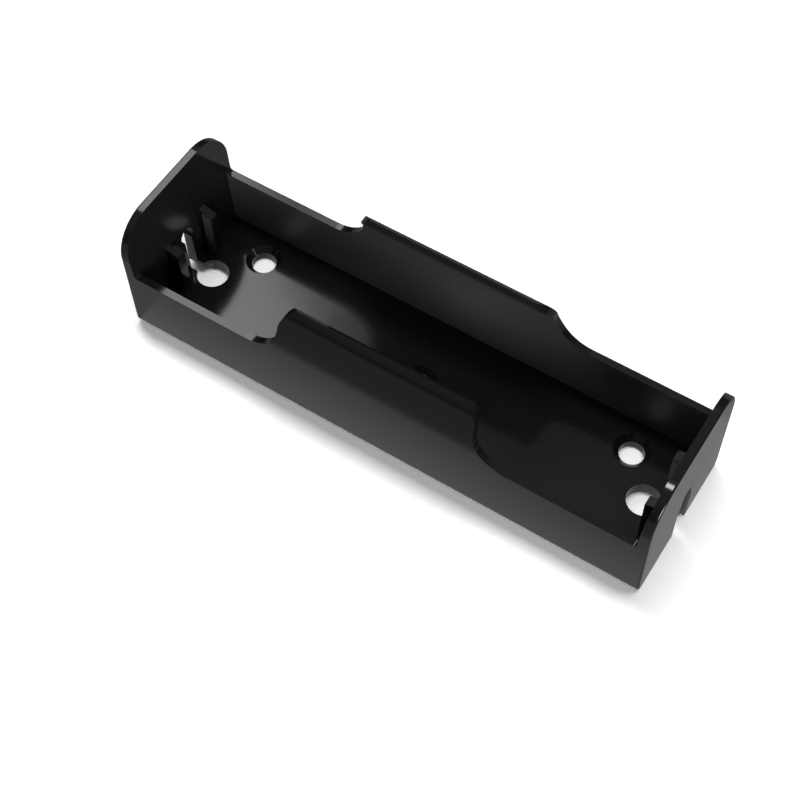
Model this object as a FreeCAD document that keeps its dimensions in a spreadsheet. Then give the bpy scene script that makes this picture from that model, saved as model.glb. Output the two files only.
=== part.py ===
import FreeCAD, Part
import math
import os
import Sketcher

# Open holder for one cylindrical cell, moulded in one piece.
# Millimetres. X runs along the cell, Z is up, the underside lies on Z = 0
# and the origin is at the middle of the underside.

NODE = "holder_shell"

# Driving sizes, each written once
SIZES = {
    "total_length": 77.0,
    "total_width": 21.7,
    "end_height": 19.8,
    "low_wall_height": 11.0,
    "tab_height": 19.15,
    "tab_length": 28.4,
    "tab_corner_radius": 3.05,
    "side_wall": 1.0,
    "floor_thickness": 2.0,
    "axis_rise": 12.35,
    "base_radius": 1.2,
    "end_corner_radius": 5.5,
    "edge_radius": 0.3,
    "end_wall_foot": 1.95,
    "end_wall_top": 1.16,
    "plate_fillet": 0.5,
    "rib_gap": 6.0,
    "rib_width": 1.4,
    "rib_inset": 3.6,
    "rib_rise": 7.4,
    "rib_slope": 1.0,
    "lip_width": 0.5,
    "lip_inset": 2.2,
    "slot_width": 1.4,
    "slot_rise": 6.2,
    "slot_head_radius": 1.2,
    "recess_width": 3.5,
    "recess_rise": 8.0,
    "recess_depth": 0.4,
    "groove_rise": 1.4,
    "end_hole_diameter": 4.5,
    "hole_diameter": 3.4,
    "countersink_diameter": 5.0,
    "end_hole_inset": 5.1,
    "side_hole_inset": 9.7,
    "side_hole_row": 5.65,
    "overcut": 1.0,
}

# Sizes worked out from the driving ones, in the order they are needed
DERIVED = {
    "half_length": "=total_length / 2",
    "half_width": "=total_width / 2",
    "inner_half": "=half_width - side_wall",
    "cut_top": "=end_height + overcut",
    "cut_side": "=half_width + overcut",
    "cut_end": "=half_length + overcut",
    "cut_under": "=-overcut",
    "base_flat": "=half_width - base_radius",
    "corner_flat": "=half_width - end_corner_radius",
    "corner_rise": "=end_height - end_corner_radius",
    "floor_end": "=half_length - end_wall_foot",
    "trough_length": "=2 * floor_end",
    "trough_width": "=2 * inner_half",
    "end_lip": "=half_length - end_wall_top",
    "draft": "=(end_lip - floor_end) / (end_height - floor_thickness)",
    "wall_end": "=floor_end + draft * (low_wall_height - floor_thickness)",
    "plate_foot": "=wall_end - plate_fillet",
    "plate_rise": "=low_wall_height + plate_fillet",
    "plate_back": "=wall_end + draft * plate_fillet",
    "tab_half": "=tab_length / 2",
    "tab_flat": "=tab_half - tab_corner_radius",
    "tab_shoulder": "=tab_height - tab_corner_radius",
    "foot_radius": "=tab_shoulder - low_wall_height",
    "foot_end": "=tab_half + foot_radius",
    "tab_outer_top": "=sqrt(half_width ^ 2 - (tab_height - axis_rise) ^ 2)",
    "tab_inner_top": "=tab_outer_top * inner_half / half_width",
    "tab_inner_rise": "=axis_rise + (tab_height - axis_rise) * inner_half / half_width",
    "rib_half": "=rib_gap / 2",
    "rib_front": "=half_length - rib_inset",
    "rib_top": "=floor_thickness + rib_rise",
    "rib_back_top": "=rib_top + rib_slope",
    "lip_back": "=half_length - lip_inset",
    "contact_width": "=rib_gap + 2 * lip_width",
    "slot_half": "=slot_width / 2",
    "head_rise": "=floor_thickness + slot_rise",
    "slot_neck": "=head_rise - sqrt(slot_head_radius ^ 2 - slot_half ^ 2)",
    "recess_half": "=recess_width / 2",
    "recess_spring": "=recess_rise - recess_half",
    "end_hole": "=half_length - end_hole_inset",
    "side_hole": "=half_length - side_hole_inset",
}

doc = FreeCAD.newDocument("cell_holder")
sheet = doc.addObject("Spreadsheet::Sheet", "Sizes")
for row, (name, value) in enumerate(list(SIZES.items()) + list(DERIVED.items()), start=1):
    sheet.set("A%d" % row, name)
    sheet.set("B%d" % row, str(value))
    sheet.setAlias("B%d" % row, name)
doc.recompute()

body = doc.addObject("PartDesign::Body", NODE)
body.Label = NODE


def number(size):
    """Value of a size, with a leading minus sign allowed, or 0."""
    if size == "0":
        return 0.0
    if size.startswith("-"):
        return -float(sheet.get(size[1:]))
    return float(sheet.get(size))


def bound(size):
    """Expression that ties a datum to the sheet."""
    if size.startswith("-"):
        return "-Sizes." + size[1:]
    return "Sizes." + size


def origin_plane(role):
    return [f for f in body.Origin.OriginFeatures if f.Role == role][0]


def new_sketch(name, plane, offset=None):
    """Sketch on one of the body's own origin planes, moved along its normal by a size."""
    sketch = body.newObject("Sketcher::SketchObject", name)
    sketch.AttachmentSupport = [(origin_plane(plane), "")]
    sketch.MapMode = "FlatFace"
    if offset:
        sketch.setExpression("AttachmentOffset.Base.z", bound(offset))
    return sketch


def pin(sketch, geometry, point, across, up):
    """Hold a point at two sizes measured from the sketch origin."""
    for kind, size in (("DistanceX", across), ("DistanceY", up)):
        if size == "0":
            axis = -2 if kind == "DistanceX" else -1
            sketch.addConstraint(Sketcher.Constraint("PointOnObject", geometry, point, axis))
        else:
            index = sketch.addConstraint(
                Sketcher.Constraint(kind, -1, 1, geometry, point, number(size)))
            sketch.setExpression("Constraints[%d]" % index, bound(size))


def closed_wire(sketch, corners):
    """Closed outline. Each corner is (across, up), or (across, up, radius, turn)
    where an arc of that radius leads on to the next corner: turn is +1 when its
    centre lies to the left of the way there, -1 to the right, a turn of 2 takes
    the longer way round, and 0.5 is a half circle between two level corners."""
    first = sketch.GeometryCount
    count = len(corners)
    places = [FreeCAD.Vector(number(c[0]), number(c[1]), 0) for c in corners]
    for i, corner in enumerate(corners):
        start = places[i]
        end = places[(i + 1) % count]
        if len(corner) == 2:
            sketch.addGeometry(Part.LineSegment(start, end), False)
            continue
        radius = number(corner[2])
        chord = end - start
        left = FreeCAD.Vector(-chord.y, chord.x, 0).normalize()
        reach = math.sqrt(max(radius ** 2 - (chord.Length / 2) ** 2, 0.0))
        side = math.copysign(1.0, corner[3])
        if corner[3] == 2:
            reach = -reach
        centre = (start + end) * 0.5 + left * (reach * side)
        circle = Part.Circle(centre, FreeCAD.Vector(0, 0, 1), radius)
        angles = [math.atan2(p.y - centre.y, p.x - centre.x) for p in (start, end)]
        if side < 0:
            angles.reverse()
        if angles[1] <= angles[0]:
            angles[1] += 2 * math.pi
        sketch.addGeometry(Part.ArcOfCircle(circle, angles[0], angles[1]), False)

    def ends(i):
        """Point numbers at the start and end of one edge of the outline."""
        clockwise = len(corners[i]) > 2 and corners[i][3] < 0
        return (2, 1) if clockwise else (1, 2)

    for i in range(count):
        following = (i + 1) % count
        sketch.addConstraint(Sketcher.Constraint(
            "Coincident", first + i, ends(i)[1], first + following, ends(following)[0]))
    for i, corner in enumerate(corners):
        pin(sketch, first + i, ends(i)[0], corner[0], corner[1])
        if len(corner) == 2:
            continue
        kind, value = "Radius", corner[2]
        parts = (first + i,)
        if corner[3] == 0.5:
            kind, value = "DistanceY", corner[1]
            parts = (-1, 1, first + i, 3)
        index = sketch.addConstraint(Sketcher.Constraint(kind, *parts, number(value)))
        sketch.setExpression("Constraints[%d]" % index, bound(value))


def rectangle(sketch, low_across, low_up, high_across, high_up):
    closed_wire(sketch, [
        (low_across, low_up), (high_across, low_up), (high_across, high_up), (low_across, high_up)])


def circles(sketch, places, diameter):
    """Equal circles round the given places."""
    for across, up in places:
        centre = FreeCAD.Vector(number(across), number(up), 0)
        circle = sketch.addGeometry(
            Part.Circle(centre, FreeCAD.Vector(0, 0, 1), number(diameter) / 2), False)
        pin(sketch, circle, 3, across, up)
        index = sketch.addConstraint(Sketcher.Constraint("Diameter", circle, number(diameter)))
        sketch.setExpression("Constraints[%d]" % index, bound(diameter))


def finish(feature):
    """Recompute after a feature and stop if it failed."""
    doc.recompute()
    if "Invalid" in feature.State or "Error" in feature.State or not feature.Shape.isValid():
        raise RuntimeError("failed: " + feature.Name)
    return feature


def add(name, sketch, length, both_ways=False):
    """Pad from a sketch, that has to add material."""
    before = body.Shape.Volume
    pad = body.newObject("PartDesign::Pad", name)
    pad.Profile = sketch
    pad.setExpression("Length", bound(length))
    pad.Midplane = both_ways
    finish(pad)
    if not pad.Shape.Volume > before:
        raise RuntimeError("added nothing: " + name)
    return pad


def cut(name, sketch, length=None, both_ways=False, upward=False):
    """Pocket from a sketch, through all where no length is given, that has to remove material."""
    before = body.Shape.Volume
    pocket = body.newObject("PartDesign::Pocket", name)
    pocket.Profile = sketch
    if length:
        pocket.setExpression("Length", bound(length))
    else:
        pocket.Type = "ThroughAll"
    pocket.Midplane = both_ways
    pocket.Reversed = upward
    finish(pocket)
    if not pocket.Shape.Volume < before:
        raise RuntimeError("cut nothing: " + name)
    return pocket


def mirror(name, feature, plane):
    """The same feature again on the other side of one of the body's origin planes."""
    mirrored = body.newObject("PartDesign::Mirrored", name)
    mirrored.Originals = [feature]
    mirrored.MirrorPlane = (origin_plane(plane), [""])
    body.Tip = mirrored
    return finish(mirrored)


# Block with the end wall's outline, as long as the whole holder
outline = new_sketch("end_outline", "YZ_Plane")
closed_wire(outline, [
    ("-base_flat", "0"),
    ("base_flat", "0", "base_radius", 1),
    ("half_width", "base_radius"),
    ("half_width", "corner_rise", "end_corner_radius", 1),
    ("corner_flat", "end_height"),
    ("-corner_flat", "end_height", "end_corner_radius", 1),
    ("-half_width", "corner_rise"),
    ("-half_width", "base_radius", "base_radius", 1),
])
block = body.newObject("PartDesign::Pad", "block")
block.Profile = outline
block.setExpression("Length", bound("total_length"))
block.Midplane = True
finish(block)

# Outer edges of both ends slightly rounded
rim = []
for count, edge in enumerate(block.Shape.Edges, start=1):
    ends_of_edge = [vertex.X for vertex in edge.Vertexes]
    if max(ends_of_edge) - min(ends_of_edge) < number("edge_radius"):
        rim.append("Edge%d" % count)
end_edges = body.newObject("PartDesign::Fillet", "end_edges")
end_edges.Base = (block, rim)
end_edges.setExpression("Radius", bound("edge_radius"))
finish(end_edges)

# Trough for the cell: flat floor, upright walls, then an arc up to the tabs' slanting ends
trough = new_sketch("trough_section", "YZ_Plane")
closed_wire(trough, [
    ("-inner_half", "floor_thickness"),
    ("inner_half", "floor_thickness"),
    ("inner_half", "axis_rise", "inner_half", 1),
    ("tab_inner_top", "tab_inner_rise"),
    ("tab_outer_top", "tab_height"),
    ("tab_outer_top", "cut_top"),
    ("-tab_outer_top", "cut_top"),
    ("-tab_outer_top", "tab_height"),
    ("-tab_inner_top", "tab_inner_rise", "inner_half", 1),
    ("-inner_half", "axis_rise"),
])
cut("trough", trough, "trough_length", both_ways=True)

# Outside of the tabs, an arc one wall thickness round the inner one
tab_back = new_sketch("tab_section", "YZ_Plane")
closed_wire(tab_back, [
    ("-cut_side", "axis_rise"),
    ("-half_width", "axis_rise", "half_width", -1),
    ("-tab_outer_top", "tab_height"),
    ("tab_outer_top", "tab_height", "half_width", -1),
    ("half_width", "axis_rise"),
    ("cut_side", "axis_rise"),
    ("cut_side", "cut_top"),
    ("-cut_side", "cut_top"),
])
cut("tab_back", tab_back, "trough_length", both_ways=True)

# Ends of the trough, where the inner faces of the end walls lean outward
leaning = new_sketch("end_wall_section", "XZ_Plane")
closed_wire(leaning, [
    ("rib_front", "floor_thickness"),
    ("floor_end", "floor_thickness"),
    ("end_lip", "end_height"),
    ("end_lip", "cut_top"),
    ("rib_front", "cut_top"),
])
closed_wire(leaning, [
    ("-rib_front", "floor_thickness"),
    ("-rib_front", "cut_top"),
    ("-end_lip", "cut_top"),
    ("-end_lip", "end_height"),
    ("-floor_end", "floor_thickness"),
])
cut("trough_ends", leaning, "trough_width", both_ways=True)

# Side walls cut down beside the tabs, up to the same leaning faces
sides = new_sketch("side_outline", "XZ_Plane")
closed_wire(sides, [
    ("foot_end", "low_wall_height"),
    ("plate_foot", "low_wall_height", "plate_fillet", 1),
    ("plate_back", "plate_rise"),
    ("end_lip", "end_height"),
    ("end_lip", "cut_top"),
    ("tab_flat", "cut_top"),
    ("tab_flat", "tab_height", "tab_corner_radius", -1),
    ("tab_half", "tab_shoulder", "foot_radius", 1),
])
closed_wire(sides, [
    ("-plate_foot", "low_wall_height"),
    ("-foot_end", "low_wall_height", "foot_radius", 1),
    ("-tab_half", "tab_shoulder", "tab_corner_radius", -1),
    ("-tab_flat", "tab_height"),
    ("-tab_flat", "cut_top"),
    ("-end_lip", "cut_top"),
    ("-end_lip", "end_height"),
    ("-plate_back", "plate_rise", "plate_fillet", 1),
])
cut("side_cut", sides, both_ways=True)

# Two ribs in front of each end wall that hold the contact by its edges
rib = new_sketch("rib_outline", "XZ_Plane", offset="rib_half")
closed_wire(rib, [
    ("rib_front", "floor_thickness"),
    ("end_lip", "floor_thickness"),
    ("end_lip", "rib_back_top"),
    ("rib_front", "rib_top"),
])
closed_wire(rib, [
    ("-rib_front", "floor_thickness"),
    ("-rib_front", "rib_top"),
    ("-end_lip", "rib_back_top"),
    ("-end_lip", "floor_thickness"),
])
near_ribs = add("near_ribs", rib, "rib_width")
mirror("far_ribs", near_ribs, "XZ_Plane")

# Groove for the contact behind the ribs' inner lips
behind = new_sketch("contact_section", "XZ_Plane")
closed_wire(behind, [
    ("lip_back", "floor_thickness"),
    ("floor_end", "floor_thickness"),
    ("wall_end", "low_wall_height"),
    ("lip_back", "low_wall_height"),
])
closed_wire(behind, [
    ("-lip_back", "floor_thickness"),
    ("-lip_back", "low_wall_height"),
    ("-wall_end", "low_wall_height"),
    ("-floor_end", "floor_thickness"),
])
cut("contact_grooves", behind, "contact_width", both_ways=True)

# Slots with a round head, through both end walls
slot = new_sketch("slot_outline", "YZ_Plane")
closed_wire(slot, [
    ("-slot_half", "floor_thickness"),
    ("slot_half", "floor_thickness"),
    ("slot_half", "slot_neck", "slot_head_radius", 2),
    ("-slot_half", "slot_neck"),
])
cut("contact_slots", slot, both_ways=True)

# The same slots carried down through the floor, from the end holes outward
channel = new_sketch("channel_outline", "XY_Plane")
rectangle(channel, "end_hole", "-slot_half", "cut_end", "slot_half")
rectangle(channel, "-cut_end", "-slot_half", "-end_hole", "slot_half")
cut("floor_channels", channel, "floor_thickness", upward=True)

# Wider groove along the underside below each of them
groove = new_sketch("groove_outline", "XY_Plane")
rectangle(groove, "end_hole", "-recess_half", "cut_end", "recess_half")
rectangle(groove, "-cut_end", "-recess_half", "-end_hole", "recess_half")
cut("underside_grooves", groove, "groove_rise", upward=True)

# Arched recess of the same width round each slot on the outer faces, open at the bottom
recess = new_sketch("recess_outline", "YZ_Plane", offset="half_length")
closed_wire(recess, [
    ("-recess_half", "cut_under"),
    ("recess_half", "cut_under"),
    ("recess_half", "recess_spring", "recess_half", 0.5),
    ("-recess_half", "recess_spring"),
])
outer_recess = cut("outer_recess", recess, "recess_depth")
mirror("outer_recesses", outer_recess, "YZ_Plane")

# Plain hole in the floor in front of each end wall
end_holes = new_sketch("end_hole_outline", "XY_Plane")
circles(end_holes, [("-end_hole", "0"), ("end_hole", "0")], "end_hole_diameter")
cut("end_holes", end_holes, "floor_thickness", upward=True)

# Three countersunk holes: one in the middle of the floor and two beside the far wall
centres = new_sketch("hole_centres", "XY_Plane", offset="floor_thickness")
circles(centres, [
    ("0", "0"), ("-side_hole", "side_hole_row"), ("side_hole", "side_hole_row")], "hole_diameter")
doc.recompute()
before_holes = body.Shape.Volume
holes = body.newObject("PartDesign::Hole", "floor_holes")
holes.Profile = centres
doc.recompute()
holes.ThreadType = "None"
holes.DepthType = "ThroughAll"
holes.HoleCutType = "Countersink"
holes.HoleCutCountersinkAngle = 90
holes.setExpression("Diameter", bound("hole_diameter"))
holes.setExpression("HoleCutDiameter", bound("countersink_diameter"))
finish(holes)
if not holes.Shape.Volume < before_holes:
    raise RuntimeError("cut nothing: floor_holes")

# Final check of every object, then the one file of the one piece
for item in doc.Objects:
    if "Invalid" in item.State or "Error" in item.State:
        raise RuntimeError("failed: " + item.Name)
shape = body.Shape
if shape.isNull() or not shape.isValid() or len(shape.Solids) != 1:
    raise RuntimeError("the shell is not one valid solid")
box = shape.BoundBox
print("%s: %.2f x %.2f x %.2f mm, %.1f mm3" % (
    NODE, box.XLength, box.YLength, box.ZLength, shape.Volume))
os.makedirs("parts", exist_ok=True)
shape.exportStep("parts/%s.step" % body.Label)
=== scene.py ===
import math

import bpy
from mathutils import Matrix, Vector

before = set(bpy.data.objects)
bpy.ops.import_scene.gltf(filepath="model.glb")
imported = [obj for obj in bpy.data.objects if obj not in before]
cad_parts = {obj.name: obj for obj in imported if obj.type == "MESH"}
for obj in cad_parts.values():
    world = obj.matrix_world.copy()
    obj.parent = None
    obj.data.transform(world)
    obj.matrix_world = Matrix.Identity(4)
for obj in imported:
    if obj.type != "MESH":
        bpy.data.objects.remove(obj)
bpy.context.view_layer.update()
scene = bpy.context.scene

MM = 0.001
HALF_LENGTH = 38.5 * MM  # of the holder, along X
HALF_WIDTH = 10.85 * MM  # of the holder, along Y


# ---------------------------------------------------------------- camera, fitted to the photo
EYE = Vector((59.922, -93.742, 178.598)) * MM
FORWARD = Vector((-0.29160, 0.43452, -0.85215)).normalized()
RIGHT_HINT = Vector((0.84442, 0.53544, -0.01593))
FOCAL_LENGTH = 1583.33  # pixels
IMAGE_WIDTH = 800.0  # pixels
SENSOR_WIDTH = 36.0  # mm
CLIP_NEAR, CLIP_FAR = 0.005, 10.0

camera_data = bpy.data.cameras.new("camera")
camera_data.sensor_width = SENSOR_WIDTH
camera_data.lens = FOCAL_LENGTH * SENSOR_WIDTH / IMAGE_WIDTH
camera_data.clip_start, camera_data.clip_end = CLIP_NEAR, CLIP_FAR
camera = bpy.data.objects.new("camera", camera_data)
scene.collection.objects.link(camera)
scene.camera = camera

right = (RIGHT_HINT - RIGHT_HINT.dot(FORWARD) * FORWARD).normalized()
up = right.cross(FORWARD).normalized()
turn = Matrix((right, up, -FORWARD)).transposed()
camera.matrix_world = Matrix.Translation(EYE) @ turn.to_4x4()


# ---------------------------------------------------------------- node helpers
def empty_tree(owner, output_kind):
    """The owner's node tree with nothing in it but a new output node."""
    owner.use_nodes = True
    tree = owner.node_tree
    tree.nodes.clear()
    return tree, tree.nodes.new(output_kind)


def add(tree, kind, inputs=None, **settings):
    """A new node. Each of its inputs is linked where a socket is given, and otherwise set."""
    node = tree.nodes.new(kind)
    for name, value in settings.items():
        setattr(node, name, value)
    for name, value in (inputs or {}).items():
        if isinstance(value, bpy.types.NodeSocket):
            tree.links.new(value, node.inputs[name])
        else:
            node.inputs[name].default_value = value
    return node


def calculate(tree, operation, *inputs):
    node = add(tree, "ShaderNodeMath", dict(enumerate(inputs)), operation=operation)
    return node.outputs["Value"]


def blend(tree, share, first, second):
    node = add(tree, "ShaderNodeMixShader", {0: share, 1: first, 2: second})
    return node.outputs["Shader"]


def map_range(tree, value, start, end, low=0.0, high=1.0):
    node = add(tree, "ShaderNodeMapRange", {
        "Value": value, "From Min": start, "From Max": end, "To Min": low, "To Max": high})
    return node.outputs["Result"]


def ramp(tree, source, stops):
    node = add(tree, "ShaderNodeValToRGB", {"Fac": source})
    band = node.color_ramp
    band.elements[0].position, band.elements[0].color = stops[0]
    band.elements[1].position, band.elements[1].color = stops[-1]
    for position, colour in stops[1:-1]:
        band.elements.new(position).color = colour
    return node.outputs["Color"]


def coordinates(tree, kind):
    return tree.nodes.new("ShaderNodeTexCoord").outputs[kind]


def grey(value):
    return (value, value, value, 1.0)


WHITE = grey(1.0)


# ---------------------------------------------------------------- moulded plastic
PLASTIC_IOR = 1.52
FLOW = (0.3, 0.7)  # the levels of the slow noise between which tint and polish change
PLASTIC = ((0.0050, 0.0048, 0.0045, 1.0), (0.0064, 0.0061, 0.0058, 1.0))
PLASTIC_ROUGHNESS = (grey(0.10), grey(0.14))
# The lighter tint for the inner faces is painted light, standing in for the light the inner walls
# catch.
INNER_PAINTED_LIGHT_TINT = ((0.070, 0.065, 0.060, 1.0), (0.080, 0.075, 0.069, 1.0))
DULL_ROUGHNESS = 0.38
INWARD = (0.80, 0.95)  # how squarely a face looks inward where dullness starts and is full
LONG_WALL_DULLNESS_AND_PAINTED_LIGHT = (grey(0.0), grey(1.0))
END_PLATE_DULLNESS_AND_PAINTED_LIGHT = (grey(0.0), grey(0.05))

plastic = bpy.data.materials.new("black_plastic")
tree, output = empty_tree(plastic, "ShaderNodeOutputMaterial")
place = coordinates(tree, "Object")
flow, grain, wave = (
    add(tree, "ShaderNodeTexNoise", {
        "Vector": place, "Scale": scale, "Detail": detail, "Roughness": roughness}).outputs["Fac"]
    for scale, detail, roughness in ((55.0, 3.0, 0.55), (2600.0, 4.0, 0.6), (120.0, 1.0, 0.4)))

# The inner faces of the walls, on the mould's core side, are duller than the rest: the two long
# ones most, the two end plates a little.
# There the plastic also gets a lighter tint. That tint is painted light for the light the inner
# walls catch, and the duller roughness is their finish.
side = add(tree, "ShaderNodeVectorMath", {0: place}, operation="SIGN")
outward = add(tree, "ShaderNodeVectorMath", {
    0: coordinates(tree, "Normal"), 1: side.outputs["Vector"]}, operation="MULTIPLY")
inward = add(tree, "ShaderNodeVectorMath", {
    0: outward.outputs["Vector"], "Scale": -1.0}, operation="SCALE")
facing = add(tree, "ShaderNodeSeparateXYZ", {"Vector": inward.outputs["Vector"]}).outputs
long_walls = ramp(tree, facing["Y"], list(zip(INWARD, LONG_WALL_DULLNESS_AND_PAINTED_LIGHT)))
end_plates = ramp(tree, facing["X"], list(zip(INWARD, END_PLATE_DULLNESS_AND_PAINTED_LIGHT)))
dullness_and_painted_light = calculate(tree, "MAXIMUM", long_walls, end_plates)

tint, polish, inner_painted_light_tint = (
    ramp(tree, flow, list(zip(FLOW, ends))) for ends in (PLASTIC, PLASTIC_ROUGHNESS, INNER_PAINTED_LIGHT_TINT))
# A Mix node has sockets for each data type: 6 and 7 are its colours, 2 and 3 its numbers.
# Inner faces take the lighter tint, which is painted light, and the duller roughness.
colour = add(tree, "ShaderNodeMix", {0: dullness_and_painted_light, 6: tint, 7: inner_painted_light_tint}, data_type="RGBA").outputs[2]
gloss = add(tree, "ShaderNodeMix", {0: dullness_and_painted_light, 2: polish, 3: DULL_ROUGHNESS}).outputs[0]

waviness = add(tree, "ShaderNodeBump", {"Height": wave, "Strength": 0.10, "Distance": 0.0003})
skin = add(tree, "ShaderNodeBump", {
    "Height": grain, "Strength": 0.06, "Distance": 0.00002, "Normal": waviness.outputs["Normal"]})
shader = add(tree, "ShaderNodeBsdfPrincipled", {
    "IOR": PLASTIC_IOR, "Base Color": colour, "Roughness": gloss, "Normal": skin.outputs["Normal"]})
tree.links.new(shader.outputs["BSDF"], output.inputs["Surface"])

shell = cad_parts["holder_shell"]
for slot in shell.material_slots:
    slot.material = plastic


# ---------------------------------------------------------------- floor
FLOOR_SIZE = 6.0
FLOOR_DROP = 0.02 * MM  # below the holder's underside
PAPER = grey(0.80)
HALF_OF_PAPER_SEEN = grey(0.70)  # the camera sees two of it added up, so the floor is white
# In reflections the floor glows with a painted pool of light and shade. Its grey goes by its
# distance from the holder's long sides, which counts as LEAST or more between the holder's ends,
# and as LEAST + PAST_ENDS or more past them. It is brightest just beside the long sides, and darker
# under the holder, past its ends and farther out.
LEAST = -2.0 * MM
PAST_ENDS = 8.0 * MM
REACH = 80.0 * MM
# Share of the way from LEAST to REACH, and the grey there.
REFLECTED_PAINTED_LIGHT = ((0.0, 0.36), (0.03, 0.53), (0.11, 0.27), (0.17, 0.18), (0.39, 0.20), (1.0, 0.22))
BACKDROP = (0.12, 0.30)  # from the holder's middle to where plain white sets in and is full

floor_white = bpy.data.materials.new("white_floor")
tree, output = empty_tree(floor_white, "ShaderNodeOutputMaterial")
rays = tree.nodes.new("ShaderNodeLightPath").outputs
place = coordinates(tree, "Object")
along = add(tree, "ShaderNodeSeparateXYZ", {"Vector": place}).outputs

past_end = calculate(tree, "GREATER_THAN", calculate(tree, "ABSOLUTE", along["X"]), HALF_LENGTH)
past_side = calculate(tree, "SUBTRACT", calculate(tree, "ABSOLUTE", along["Y"]), HALF_WIDTH)
distance = calculate(
    tree, "MAXIMUM", calculate(tree, "MULTIPLY_ADD", past_end, PAST_ENDS, LEAST), past_side)
painted_light_pool = ramp(tree, map_range(tree, distance, LEAST, REACH), [
    (share, grey(level)) for share, level in REFLECTED_PAINTED_LIGHT])
# This glow is painted light and shade on the floor, seen by glossy and transmission rays. The floor
# is no lamp.
painted_glow = add(tree, "ShaderNodeEmission", {"Color": painted_light_pool, "Strength": 1.0})
paper = add(tree, "ShaderNodeBsdfDiffuse", {"Color": PAPER})
mirrored = calculate(tree, "MAXIMUM", rays["Is Glossy Ray"], rays["Is Transmission Ray"])
lit = blend(tree, mirrored, paper.outputs["BSDF"], painted_glow.outputs["Emission"])

half_seen = add(tree, "ShaderNodeBsdfDiffuse", {"Color": HALF_OF_PAPER_SEEN}).outputs["BSDF"]
seen = add(tree, "ShaderNodeAddShader", {0: half_seen, 1: half_seen})
backdrop = add(tree, "ShaderNodeEmission", {"Color": WHITE, "Strength": 1.0})
radius = add(tree, "ShaderNodeVectorMath", {0: place}, operation="LENGTH").outputs["Value"]
remote = map_range(tree, radius, *BACKDROP)
paper_seen = blend(tree, remote, seen.outputs["Shader"], backdrop.outputs["Emission"])
in_view = blend(tree, rays["Is Camera Ray"], lit, paper_seen)
tree.links.new(in_view, output.inputs["Surface"])

bpy.ops.mesh.primitive_plane_add(size=FLOOR_SIZE, location=(0.0, 0.0, -FLOOR_DROP))
floor = bpy.context.object
floor.name = "floor"
floor.data.materials.append(floor_white)


# ---------------------------------------------------------------- lamps and world
AIM = Vector((0.0, 0.0, 0.01))
ROOM_HEIGHT = (0.3, 0.8)  # Z of a direction, where 0 is the horizon and 1 is straight up
ROOM_LEVEL = (0.04, 0.17)  # the room's light at and below the first height, and from the second up


def lamp(name, azimuth, elevation, distance, width, height, brightness):
    """A soft lamp aimed at the middle of the holder. A brightness of 1 is white."""
    data = bpy.data.lights.new(name, "AREA")
    data.shape = "RECTANGLE"
    data.size, data.size_y = width, height
    data.energy = brightness * math.pi * width * height
    item = bpy.data.objects.new(name, data)
    scene.collection.objects.link(item)
    a, e = math.radians(azimuth), math.radians(elevation)
    away = Vector((math.cos(e) * math.cos(a), math.cos(e) * math.sin(a), math.sin(e)))
    item.location = AIM + distance * away
    item.rotation_euler = away.to_track_quat("Z", "Y").to_euler()


lamp("softbox_far_left", azimuth=148.5, elevation=48.0,
     distance=1.0, width=0.36, height=0.45, brightness=3.7)
lamp("softbox_top", azimuth=90.0, elevation=81.0,
     distance=1.2, width=0.80, height=0.24, brightness=13.2)
lamp("softbox_far_middle", azimuth=115.0, elevation=47.5,
     distance=1.0, width=0.34, height=0.24, brightness=1.8)
lamp("softbox_near_right", azimuth=325.0, elevation=12.5,
     distance=1.0, width=0.66, height=0.32, brightness=12.5)

world = bpy.data.worlds.new("world")
scene.world = world
tree, output = empty_tree(world, "ShaderNodeOutputWorld")
height = add(tree, "ShaderNodeSeparateXYZ", {"Vector": coordinates(tree, "Generated")}).outputs["Z"]
room = add(tree, "ShaderNodeBackground", {
    "Color": WHITE, "Strength": map_range(tree, height, *ROOM_HEIGHT, *ROOM_LEVEL)})
white = add(tree, "ShaderNodeBackground", {"Color": WHITE, "Strength": 1.0})
rays = tree.nodes.new("ShaderNodeLightPath").outputs
sky = blend(tree, rays["Is Camera Ray"], room.outputs["Background"], white.outputs["Background"])
tree.links.new(sky, output.inputs["Surface"])

scene.view_settings.view_transform = "Standard"
